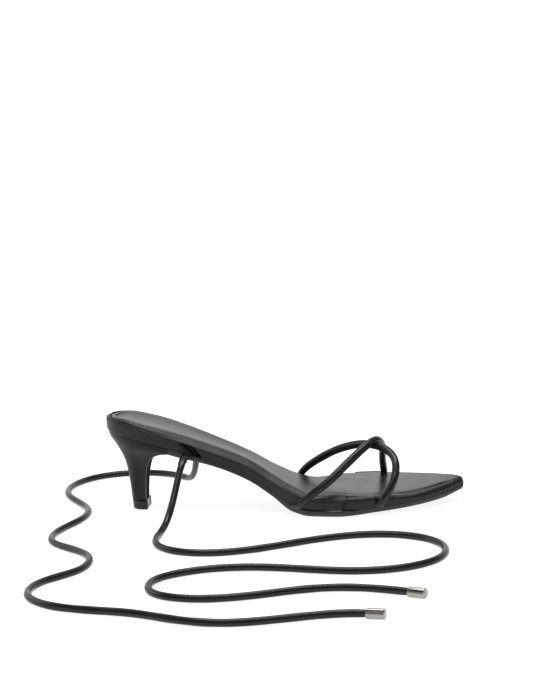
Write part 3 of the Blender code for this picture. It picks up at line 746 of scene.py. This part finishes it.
def rolled_cord(name, route, seam_start, seam_turns, seed):
    """Mesh of a rolled cord along a route, and the line of its seam; the route's fourth column thins it."""
    centres, thickness = route[:, :3], route[:, 3]
    run = run_along(centres)
    tangents, firsts, seconds = cord_frames(centres)
    turn = np.arange(CORD_SIDES) * 2.0 * math.pi / CORD_SIDES
    seam = seam_start + seam_turns * 2.0 * math.pi * run / run[-1]
    seam = seam + SEAM_WANDER * uneven(run, SEAM_WANDER_LENGTH, seed)
    angle = seam[:, None] + turn
    outward = np.cos(angle)[:, :, None] * firsts[:, None] + np.sin(angle)[:, :, None] * seconds[:, None]
    bending = np.gradient(tangents, run, axis=0)
    inner_side = np.einsum("ik,ijk->ij", bending, outward) * CORD * FULL_WRINKLE_BEND
    wander = WRINKLE_WANDER * uneven(run, WRINKLE_WANDER_LENGTH, seed + 1)
    wrinkle = np.sin(2.0 * math.pi * run / WRINKLE_PITCH + wander)
    from_seam = np.minimum(turn, 2.0 * math.pi - turn) * CORD / 2.0
    radius = CORD / 2.0 * (1.0 + LUMPS * uneven(run, LUMP_LENGTH, seed + 2)[:, None])
    radius = radius - SEAM_DEPTH * np.exp(-((from_seam / SEAM_WIDTH) ** 2))
    radius = radius - BEND_WRINKLE * np.clip(inner_side, 0.0, 1.0) * (0.5 + 0.5 * wrinkle[:, None])
    wander = GATHER_WANDER * uneven(run, GATHER_WANDER_LENGTH, seed + 3)
    gathers = np.sin(GATHERS_ROUND * turn + wander[:, None])
    radius = radius + GATHER_HEIGHT * np.maximum(1.0 - thickness, 0.0)[:, None] * gathers
    offsets = radius[:, :, None] * outward
    lengthwise = unit(np.array((1.0, 0.0, 0.0)) - tangents * tangents[:, :1])
    flatwise = np.cross(tangents, lengthwise)
    flare = np.where(thickness > 1.0, thickness, 1.0 + FLARE * (1.0 - thickness))
    wide = np.einsum("ijk,ik->ij", offsets, lengthwise) * flare[:, None]
    flat = np.einsum("ijk,ik->ij", offsets, flatwise) * thickness[:, None]
    rings = centres[:, None] + wide[:, :, None] * lengthwise[:, None] + flat[:, :, None] * flatwise[:, None]
    count = len(rings)
    faces, spots = [], []
    for ring in range(count - 1):
        for side in range(CORD_SIDES):
            beside = (side + 1) % CORD_SIDES
            here, there = ring * CORD_SIDES, (ring + 1) * CORD_SIDES
            faces.append((here + side, here + beside, there + beside, there + side))
            for along, around in ((0, 0), (0, 1), (1, 1), (1, 0)):
                spots.append((run[ring + along] * MM, (side + around) / CORD_SIDES))
    for ring, turned in ((0, True), (count - 1, False)):
        end = [ring * CORD_SIDES + side for side in range(CORD_SIDES)]
        faces.append(end[::-1] if turned else end)
        spots += [(run[ring] * MM, 0.5)] * CORD_SIDES
    mesh = bpy.data.meshes.new(name)
    mesh.from_pydata(metres(rings.reshape(-1, 3)), [], faces)
    mesh.uv_layers.new(name="cord_map").data.foreach_set("uv", np.array(spots).ravel())
    mesh.shade_smooth()
    return mesh, metres(rings[:, 0] + STITCH_LIFT * outward[:, 0])


def rolled_leather_finish(name):
    """Rolled black leather: fine grain, and creases across the cord that follow its own map."""
    made = black_leather(name, (0.014, 0.014, 0.0144), 0.2, 0.5, 0.02, 0.27)
    nodes = made.node_tree.nodes
    shader = nodes["Principled BSDF"]
    grain = shader.inputs["Normal"].links[0].from_node
    cord_map = nodes.new("ShaderNodeUVMap")
    cord_map.uv_map = "cord_map"
    stretched = nodes.new("ShaderNodeMapping")
    stretched.inputs["Scale"].default_value = (900.0, 2.0, 1.0)
    creases = nodes.new("ShaderNodeTexNoise")
    creases.inputs["Scale"].default_value = 1.0
    creases.inputs["Detail"].default_value = 2.0
    crossing = nodes.new("ShaderNodeBump")
    crossing.inputs["Distance"].default_value = 0.05 * MM
    crossing.inputs["Strength"].default_value = 0.5
    wire(
        made.node_tree,
        (cord_map, "UV", stretched, "Vector"),
        (stretched, "Vector", creases, "Vector"),
        (creases, "Fac", crossing, "Height"),
        (grain, "Normal", crossing, "Normal"),
        (crossing, "Normal", shader, "Normal"),
    )
    return made


rolled_leather = rolled_leather_finish("rolled_leather_finish")
over_route = fair_route(STRAP_OVER, CORD_SPACING)
under_route = fair_route(STRAP_UNDER, CORD_SPACING)
over_mesh, over_seam = rolled_cord("upper_rolled", over_route, 2.4, 0.4, 51)
under_mesh, under_seam = rolled_cord("strap_joined", under_route, 0.6, -0.4, 61)
upper = piece("upper_rolled", over_mesh, rolled_leather, "upper_straps")
joined = bpy.data.objects.new("strap_joined", under_mesh)
scene.collection.objects.link(joined)
joining = upper.modifiers.new("joining", "BOOLEAN")
joining.operation = "UNION"
joining.object = joined
upper_mesh = bpy.data.meshes.new_from_object(upper.evaluated_get(bpy.context.evaluated_depsgraph_get()))
upper.modifiers.clear()
upper.data = upper_mesh
upper_mesh.name = "upper_rolled"
bpy.data.objects.remove(joined)

# Seam stitches: the fine black thread that closes each rolled cord, one short stitch after
# another along the seam. Made of polyester thread, sewn before the cord is cut to length.
STITCH_PITCH, STITCH_LENGTH, THREAD = 2.0, 1.4, 0.42
thread_finish = bpy.data.materials.new("stitch_thread")
thread_finish.use_nodes = True
thread_finish.node_tree.nodes["Principled BSDF"].inputs["Roughness"].default_value = 0.5
fibres = pattern(thread_finish, "ShaderNodeTexNoise", 4000.0, 2.0)
uneven_tone(thread_finish, fibres, (0.012, 0.012, 0.012), (0.035, 0.035, 0.035), 0.0, 1.0)

stitching = bpy.data.node_groups.new("seam_stitches", "GeometryNodeTree")
stitching.interface.new_socket("Seam", in_out="INPUT", socket_type="NodeSocketGeometry")
stitch_sockets = {
    name: stitching.interface.new_socket(name, in_out="INPUT", socket_type=kind).identifier
    for name, kind in (
        ("Pitch", "NodeSocketFloat"), ("Stitch Length", "NodeSocketFloat"),
        ("Thread", "NodeSocketFloat"), ("Finish", "NodeSocketMaterial"),
    )
}
stitching.interface.new_socket("Stitches", in_out="OUTPUT", socket_type="NodeSocketGeometry")
nodes = stitching.nodes
given = nodes.new("NodeGroupInput")
seam_line = nodes.new("GeometryNodeMeshToCurve")
spaced = nodes.new("GeometryNodeResampleCurve")
spaced.mode = "LENGTH"
bead = nodes.new("GeometryNodeMeshUVSphere")
bead.inputs["Segments"].default_value = 6
bead.inputs["Rings"].default_value = 4
bead.inputs["Radius"].default_value = 0.5
stitch_size = nodes.new("ShaderNodeCombineXYZ")
stitch = nodes.new("GeometryNodeTransform")
heading = nodes.new("GeometryNodeInputTangent")
aligned = nodes.new("FunctionNodeAlignRotationToVector")
aligned.axis = "X"
sewn = nodes.new("GeometryNodeInstanceOnPoints")
realized = nodes.new("GeometryNodeRealizeInstances")
smoothed = nodes.new("GeometryNodeSetShadeSmooth")
finished = nodes.new("GeometryNodeSetMaterial")
result = nodes.new("NodeGroupOutput")
wire(
    stitching,
    (given, "Seam", seam_line, "Mesh"),
    (seam_line, "Curve", spaced, "Curve"),
    (given, "Pitch", spaced, "Length"),
    (given, "Stitch Length", stitch_size, "X"),
    (given, "Thread", stitch_size, "Y"),
    (given, "Thread", stitch_size, "Z"),
    (bead, "Mesh", stitch, "Geometry"),
    (stitch_size, "Vector", stitch, "Scale"),
    (heading, "Tangent", aligned, "Vector"),
    (spaced, "Curve", sewn, "Points"),
    (stitch, "Geometry", sewn, "Instance"),
    (aligned, "Rotation", sewn, "Rotation"),
    (sewn, "Instances", realized, "Geometry"),
    (realized, "Geometry", smoothed, "Geometry"),
    (smoothed, "Geometry", finished, "Geometry"),
    (given, "Finish", finished, "Material"),
    (finished, "Geometry", result, "Stitches"),
)


def stitch_row(name, *seams):
    """Stitches along one or more seams, as one plain mesh."""
    points = [tuple(point) for seam in seams for point in seam]
    edges, first = [], 0
    for seam in seams:
        edges += [(i, i + 1) for i in range(first, first + len(seam) - 1)]
        first += len(seam)
    line = bpy.data.meshes.new(name)
    line.from_pydata(points, edges, [])
    made = bpy.data.objects.new(name, line)
    scene.collection.objects.link(made)
    modifier = made.modifiers.new("stitching", "NODES")
    modifier.node_group = stitching
    modifier[stitch_sockets["Pitch"]] = STITCH_PITCH * MM
    modifier[stitch_sockets["Stitch Length"]] = STITCH_LENGTH * MM
    modifier[stitch_sockets["Thread"]] = THREAD * MM
    modifier[stitch_sockets["Finish"]] = thread_finish
    baked = bpy.data.meshes.new_from_object(made.evaluated_get(bpy.context.evaluated_depsgraph_get()))
    made.modifiers.clear()
    made.data = baked
    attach(made, "root")
    return made


TUCKED = 14
stitch_row("upper_stitches", over_seam[TUCKED:-TUCKED], under_seam[TUCKED:-TUCKED])

# Ties: two long rolled leather cords, made like the straps, one on each side of the waist.
# Each is pressed flat and tucked into the seam before the outsole is glued on, hangs down limp
# from there and lies on the floor uncoiled, in loose curves.
TIE_LATERAL = (
    (60.5, -14.0, 42.6),
    (59.8, -20.0, 42.9),
    (59.0, -27.0, 42.8),
    (58.0, -34.5, 41.0),
    (56.8, -41.5, 36.0),
    (55.4, -48.0, 28.8),
    (53.8, -54.5, 20.6),
    (52.0, -62.0, 12.4),
    (50.0, -71.0, 6.0),
    (48.2, -82.0, 3.0),
    (47.6, -95.0, 2.6),
    (53.0, -114.0, 2.6),
    (72.0, -129.0, 2.6),
    (100.0, -130.0, 2.6),
    (130.0, -117.0, 2.6),
    (160.0, -100.0, 2.6),
    (192.0, -92.0, 2.6),
    (221.0, -100.0, 2.6),
    (238.0, -122.0, 2.6),
    (236.0, -150.0, 2.6),
    (215.0, -170.0, 2.6),
    (184.0, -176.0, 2.6),
    (150.0, -170.0, 2.6),
    (116.0, -165.0, 2.6),
    (84.0, -172.0, 2.6),
    (63.0, -192.0, 2.6),
    (66.0, -216.0, 2.6),
    (88.0, -229.0, 2.6),
    (116.0, -228.0, 2.6),
    (142.0, -219.0, 2.6),
    (168.0, -211.0, 2.6),
    (194.0, -212.0, 2.6),
    (212.0, -219.0, 3.0),
    (226.0, -226.0, 3.5),
)
TIE_MEDIAL = (
    (60.0, 11.0, 42.8),
    (59.2, 17.0, 43.1),
    (58.4, 24.0, 43.0),
    (57.4, 31.5, 41.2),
    (56.2, 38.5, 36.2),
    (54.8, 45.0, 28.8),
    (53.0, 51.5, 20.6),
    (50.4, 59.5, 12.4),
    (46.8, 68.0, 6.0),
    (41.4, 77.5, 3.0),
    (33.0, 86.0, 2.6),
    (16.0, 95.0, 2.6),
    (-8.0, 96.0, 2.6),
    (-30.0, 84.0, 2.6),
    (-42.0, 60.0, 2.6),
    (-40.0, 32.0, 2.6),
    (-26.0, 6.0, 2.6),
    (-14.0, -20.0, 2.6),
    (-16.0, -46.0, 2.6),
    (-24.0, -72.0, 2.6),
    (-22.0, -98.0, 2.6),
    (-4.0, -118.0, 2.6),
    (12.0, -140.0, 2.6),
    (10.0, -168.0, 2.6),
    (-6.0, -190.0, 2.6),
    (-10.0, -216.0, 2.6),
    (6.0, -238.0, 2.6),
    (32.0, -249.0, 2.6),
    (60.0, -256.0, 2.6),
    (86.0, -268.0, 2.6),
    (114.0, -276.0, 2.6),
    (142.0, -272.0, 2.6),
    (168.0, -264.0, 2.6),
    (188.0, -262.0, 3.0),
    (204.0, -265.0, 3.5),
)
PRESSED_LENGTH, PRESSED = 20.0, 0.55
CAPPED_LENGTH, CAPPED = 8.0, 0.92


def tie_route(points):
    """Route of a tie, pressed flat in the seam at its start and pinched in its cap at the end."""
    route = fair_route(points, CORD_SPACING)
    run = np.arange(len(route)) * CORD_SPACING
    start = PRESSED + (1.0 - PRESSED) * smooth_step((run - PRESSED_LENGTH / 2.0) / PRESSED_LENGTH)
    end = CAPPED + (1.0 - CAPPED) * smooth_step((run[-1] - run - CAPPED_LENGTH / 2.0) / CAPPED_LENGTH)
    return np.column_stack((route, start * end))


lateral_route = tie_route(TIE_LATERAL)
medial_route = tie_route(TIE_MEDIAL)
lateral_mesh, lateral_seam = rolled_cord("tie_lateral_rolled", lateral_route, 1.2, 1.6, 71)
medial_mesh, medial_seam = rolled_cord("tie_medial_rolled", medial_route, -0.4, 1.4, 81)
lateral_tie = piece("tie_lateral_rolled", lateral_mesh, rolled_leather, "tie_lateral")
medial_tie = piece("tie_medial_rolled", medial_mesh, rolled_leather, "tie_medial")
lateral_stitches = stitch_row("tie_lateral_stitches", lateral_seam[2 * TUCKED:-TUCKED])
medial_stitches = stitch_row("tie_medial_stitches", medial_seam[2 * TUCKED:-TUCKED])

# Tie tips: small end caps that keep the ties from fraying, rolled from dull nickel-plated sheet.
# Each is a short tube with a flat closed end, pressed onto the last millimetres of its tie, and
# has a shallow slit where the sheet's edges nearly meet; the slit's floor is painted black in the
# cord's tone, as painted shade in the slit.
CAP_RADIUS, CAP_SOCKET, CAP_SIDES = 3.2, 7.0, 56
SLIT_WIDTH, SLIT_DEPTH, SLIT_EDGE = 1.0, 0.42, 0.85
# Radius, distance from the cap's mouth and depth of the slit, from inside the mouth to the closed end.
CAP_PROFILE = (
    (2.62, 6.9, 0.0),
    (2.7, 6.5, 0.0),
    (2.7, 0.5, 0.0),
    (2.76, 0.1, 0.0),
    (2.95, 0.0, SLIT_DEPTH),
    (3.14, 0.1, SLIT_DEPTH),
    (3.2, 0.45, SLIT_DEPTH),
    (3.2, 5.0, SLIT_DEPTH),
    (3.2, 9.9, SLIT_DEPTH),
    (3.12, 10.5, SLIT_DEPTH),
    (2.8, 10.9, 0.0),
    (2.3, 11.0, 0.0),
    (1.0, 11.0, 0.0),
)


def end_cap(name, route, slit_angle):
    """Rolled metal cap on the end of a tie, lying in the tie's own direction."""
    end, before = route[-1, :3], route[-2, :3]
    heading = unit(end - before)
    mouth = end - heading * (CAP_SOCKET - GAP)
    level = unit(np.cross((0.0, 0.0, 1.0), heading))
    upright = np.cross(heading, level)
    half_slit = SLIT_WIDTH / CAP_RADIUS / 2.0
    edges = np.array((-1.0, -SLIT_EDGE, SLIT_EDGE, 1.0)) * half_slit
    turns = np.concatenate((edges, np.linspace(half_slit, 2.0 * math.pi - half_slit, CAP_SIDES)[1:-1]))
    in_slit = np.abs(turns) < half_slit
    spokes = np.cos(turns + slit_angle)[:, None] * upright + np.sin(turns + slit_angle)[:, None] * level
    rings = []
    for radius, along, slit_depth in CAP_PROFILE:
        radii = np.where(in_slit, radius - slit_depth, radius)
        rings.append(mouth + along * heading + radii[:, None] * spokes)
    sides = len(turns)
    faces = []
    for low in range(0, (len(rings) - 1) * sides, sides):
        for here in range(sides):
            there = (here + 1) % sides
            faces.append((low + here, low + sides + here, low + sides + there, low + there))
    faces.append(list(range(sides)))
    faces.append(list(range(len(rings) * sides - 1, (len(rings) - 1) * sides - 1, -1)))
    mesh = bpy.data.meshes.new(name)
    mesh.from_pydata(metres(np.concatenate(rings)), [], faces)
    shape = bmesh.new()
    shape.from_mesh(mesh)
    bmesh.ops.recalc_face_normals(shape, faces=shape.faces)
    shape.to_mesh(mesh)
    shape.free()
    mesh.shade_smooth()
    mesh.set_sharp_from_angle(angle=math.radians(40.0))
    # The slit's faces take the second finish: black leather painted in as shade in the slit.
    slit_faces = np.tile(in_slit & np.roll(in_slit, -1), len(rings) - 1)
    finishes = np.zeros(len(faces), dtype=np.int32)
    finishes[:len(slit_faces)] = slit_faces
    mesh.polygons.foreach_set("material_index", finishes)
    return mesh


nickel = bpy.data.materials.new("nickel_plate")
nickel.use_nodes = True
nickel.node_tree.nodes["Principled BSDF"].inputs["Metallic"].default_value = 1.0
brushing = pattern(nickel, "ShaderNodeTexNoise", 1500.0, 3.0)
uneven_gloss(nickel, brushing, 0.3, 0.46, 0.0, 1.0)
uneven_tone(nickel, brushing, (0.30, 0.288, 0.268), (0.42, 0.405, 0.38))

lateral_cap_mesh = end_cap("tie_tip_lateral_cap", lateral_route, -0.95)
medial_cap_mesh = end_cap("tie_tip_medial_cap", medial_route, -0.7)
lateral_cap = piece("tie_tip_lateral_cap", lateral_cap_mesh, nickel, "tie_tip_lateral")
medial_cap = piece("tie_tip_medial_cap", medial_cap_mesh, nickel, "tie_tip_medial")
# Black leather on the slit's floor, in the cord's tone: painted shade in the slit.
slit_painted_shade = black_leather("slit_painted_shade", (0.021, 0.021, 0.0216), 0.3, 0.5, 0.02, 0.36)
for cap in (lateral_cap, medial_cap):
    cap.data.materials.append(slit_painted_shade)

# Outsole: a thin moulded rubber sheet under waist and forefoot, thicker at the tread.
# It is glued to the underside of the footbed after straps and ties are tucked in, and its
# trimmed edge stands a little inside the wrapped side.
OUTSOLE_START = 46.15
OUTSOLE_SECTION = (
    (4.2, 0.0, "sole", 0.0),
    (2.2, 0.0, "sole", 0.0),
    (0.9, 0.0, "sole", 0.35),
    (0.25, 0.0, "welt", 0.0),
    (0.1, 0.0, "seam", -1.05),
    (0.1, 0.0, "seam", -0.7),
    (0.1, 0.0, "seam", -0.35),
    (0.12, 0.0, "seam", -0.27),
    (3.0, 0.0, "seam", -0.27),
)
outsole_angles, outsole_sides = sole_loop(220, OUTSOLE_START)
outsole_section = section_rings(OUTSOLE_SECTION, outsole_angles, outsole_sides, square_start=True)
outsole_x = distance_of(outsole_angles)
lip_directions = -inward_directions(outsole_angles, outsole_sides)
TREAD_STRETCH = (132.0, 152.0, 168.0, 180.0)
lip = on_stretch(outsole_x, *TREAD_STRETCH)
# The lip round the tread: rows of the section, and how far each stands out and up there.
TREAD_LIP = (
    (3, 1.0, 0.2),
    (4, 1.42, -0.1),
    (5, 0.76, 0.1),
    (6, 0.1, 0.3),
)
for row, out, up in TREAD_LIP:
    outsole_section[row, :, :2] += out * lip[:, None] * lip_directions
    outsole_section[row, :, 2] += up * lip
outsole_rings = rounded(outsole_section, 3)[0]
outsole_rubber = black_leather("outsole_rubber", (0.008, 0.008, 0.008), 0.26, 0.35, 0.004, 0.45)
outsole_mesh = loft("outsole_sheet", outsole_rings, 10)
piece("outsole_sheet", outsole_mesh, outsole_rubber, "outsole")

# Heel: a low slim kitten heel of moulded plastic, wrapped in smooth black leather.
# The cover is drawn round the sides and back and trimmed along the flat breast in front;
# the heel is nailed and glued under the seat.
HEEL_SIDE_POINTS, HEEL_STEP = 30, 0.1
BREAST_HOLLOW, BREAST_POINTS = 0.32, 10
TRIM_INSET, TRIM_WIDTH, TRIM_DEPTH = 1.3, 0.35, 0.25
# Columns: the back's x and z, the front's x and z, half the width, fullness of the back, front corner.
HEEL = (
    (-0.3, 58.9, 46.2, 47.4, 24.4, 2.4, 0.15),
    (0.0, 57.3, 46.2, 43.6, 24.0, 2.4, 0.2),
    (1.2, 54.2, 40.5, 42.8, 22.2, 2.4, 0.5),
    (3.4, 50.6, 35.4, 41.0, 19.4, 2.4, 0.8),
    (5.9, 46.4, 31.6, 38.4, 16.4, 2.3, 0.9),
    (8.2, 42.0, 29.2, 34.8, 13.7, 2.3, 0.9),
    (10.2, 37.2, 27.6, 30.6, 11.7, 2.2, 0.9),
    (11.8, 31.0, 26.6, 25.6, 10.3, 2.2, 0.9),
    (12.9, 23.6, 25.9, 19.8, 9.2, 2.1, 0.9),
    (13.7, 15.2, 25.5, 13.4, 8.4, 2.1, 0.9),
    (14.3, 7.2, 25.3, 7.2, 7.8, 2.1, 0.9),
)


def heel_ring(row, seat=None):
    """D-shaped ring: the breast from its middle to a corner, a side, the back, and round again."""
    back_x, back_z, front_x, front_z, half_width, fullness, corner = row
    front = np.array((front_x, front_z))
    reach = np.array((back_x, back_z)) - front
    per_mm = 1.0 / np.linalg.norm(reach)
    depth = corner * per_mm
    flat = half_width - corner
    inner = np.linspace(0.0, flat - TRIM_INSET - TRIM_WIDTH, 8)
    half = [(per_mm * BREAST_HOLLOW * (1.0 - (across / flat) ** 2), across) for across in inner]
    trim_edge = flat - TRIM_INSET
    half += [(per_mm * TRIM_DEPTH, trim_edge - 0.3 * TRIM_WIDTH), (per_mm * TRIM_DEPTH, trim_edge)]
    half += [(0.0, trim_edge + 0.5 * TRIM_WIDTH), (0.0, flat - 0.1)]
    half += [(depth * 0.12, flat + 0.5 * corner), (depth * 0.5, half_width - 0.12 * corner)]
    turns = np.linspace(0.0, math.pi / 2.0, HEEL_SIDE_POINTS)
    along = depth + (1.0 - depth) * np.sin(turns) ** (2.0 / fullness)
    half += list(zip(along, half_width * np.cos(turns)))
    half[-1] = (1.0, 0.0)
    points = [(*(front + a * reach), across) for a, across in half]
    points += [(*(front + a * reach), -across) for a, across in half[-2:0:-1]]
    return np.array([(x, y, seat(x) if seat else z) for x, z, y in points])


def heel_seat(x):
    """Height of the heel's top under the footbed."""
    return last("seam", angle_of(x)) - GAP


heel_levels = np.arange(len(HEEL), dtype=float)
heel_columns = np.array(HEEL).T
heel_rings = []
for level in np.linspace(len(HEEL) - 1.0, 0.0, int(round((len(HEEL) - 1) / HEEL_STEP)) + 1):
    row = [hermite(heel_levels, column, slopes_level(heel_levels, column), level) for column in heel_columns]
    heel_rings.append(heel_ring(row, heel_seat if level == 0.0 else None))
heel_cover = black_leather("heel_cover", (0.005, 0.005, 0.0052), 0.34, 0.6, 0.006, 0.26)
heel_breast = black_leather("heel_breast", (0.012, 0.012, 0.0124), 0.8, 0.5, 0.02, 0.02)
heel_mesh = loft("heel_covered", np.array(heel_rings), 8)
piece("heel_covered", heel_mesh, heel_cover, "heel")
heel_mesh.materials.append(heel_breast)
heel_around = np.arange(len(heel_rings[0]))
on_breast = (heel_around < BREAST_POINTS) | (heel_around >= len(heel_around) - BREAST_POINTS)
breast_faces = np.tile(on_breast, len(heel_rings) - 1)
heel_finishes = np.zeros(len(heel_mesh.polygons), dtype=np.int32)
heel_finishes[:len(breast_faces)] = breast_faces
heel_mesh.polygons.foreach_set("material_index", heel_finishes)

# Heel tip: the hard top piece on the heel's end, a moulded polyurethane plate.
# It is driven into the heel with a pin, stands out a little all round, and takes the wear.
TIP = (
    (16.6, 0.0, 24.6, 0.0, 6.4, 2.2, 0.9),
    (15.2, 0.0, 25.9, 0.0, 7.7, 2.2, 0.9),
    (14.7, 0.7, 26.4, 0.7, 8.1, 2.2, 0.9),
    (14.6, 3.2, 26.4, 3.2, 8.15, 2.2, 0.9),
    (14.4, 5.6, 26.4, 5.6, 8.2, 2.2, 0.9),
    (14.35, 6.5, 26.2, 6.5, 8.15, 2.2, 0.9),
    (14.6, 6.9, 25.8, 6.9, 7.9, 2.2, 0.9),
    (16.0, 6.9, 24.6, 6.9, 6.9, 2.2, 0.9),
)
tip_rings = rounded(np.array([heel_ring(row) for row in TIP]), 4)[0]
tip_plate = black_leather("tip_plate", (0.008, 0.008, 0.008), 0.24, 0.4, 0.003, 0.34)
piece("heel_tip_plate", loft("heel_tip_plate", tip_rings, 6), tip_plate, "heel_tip")
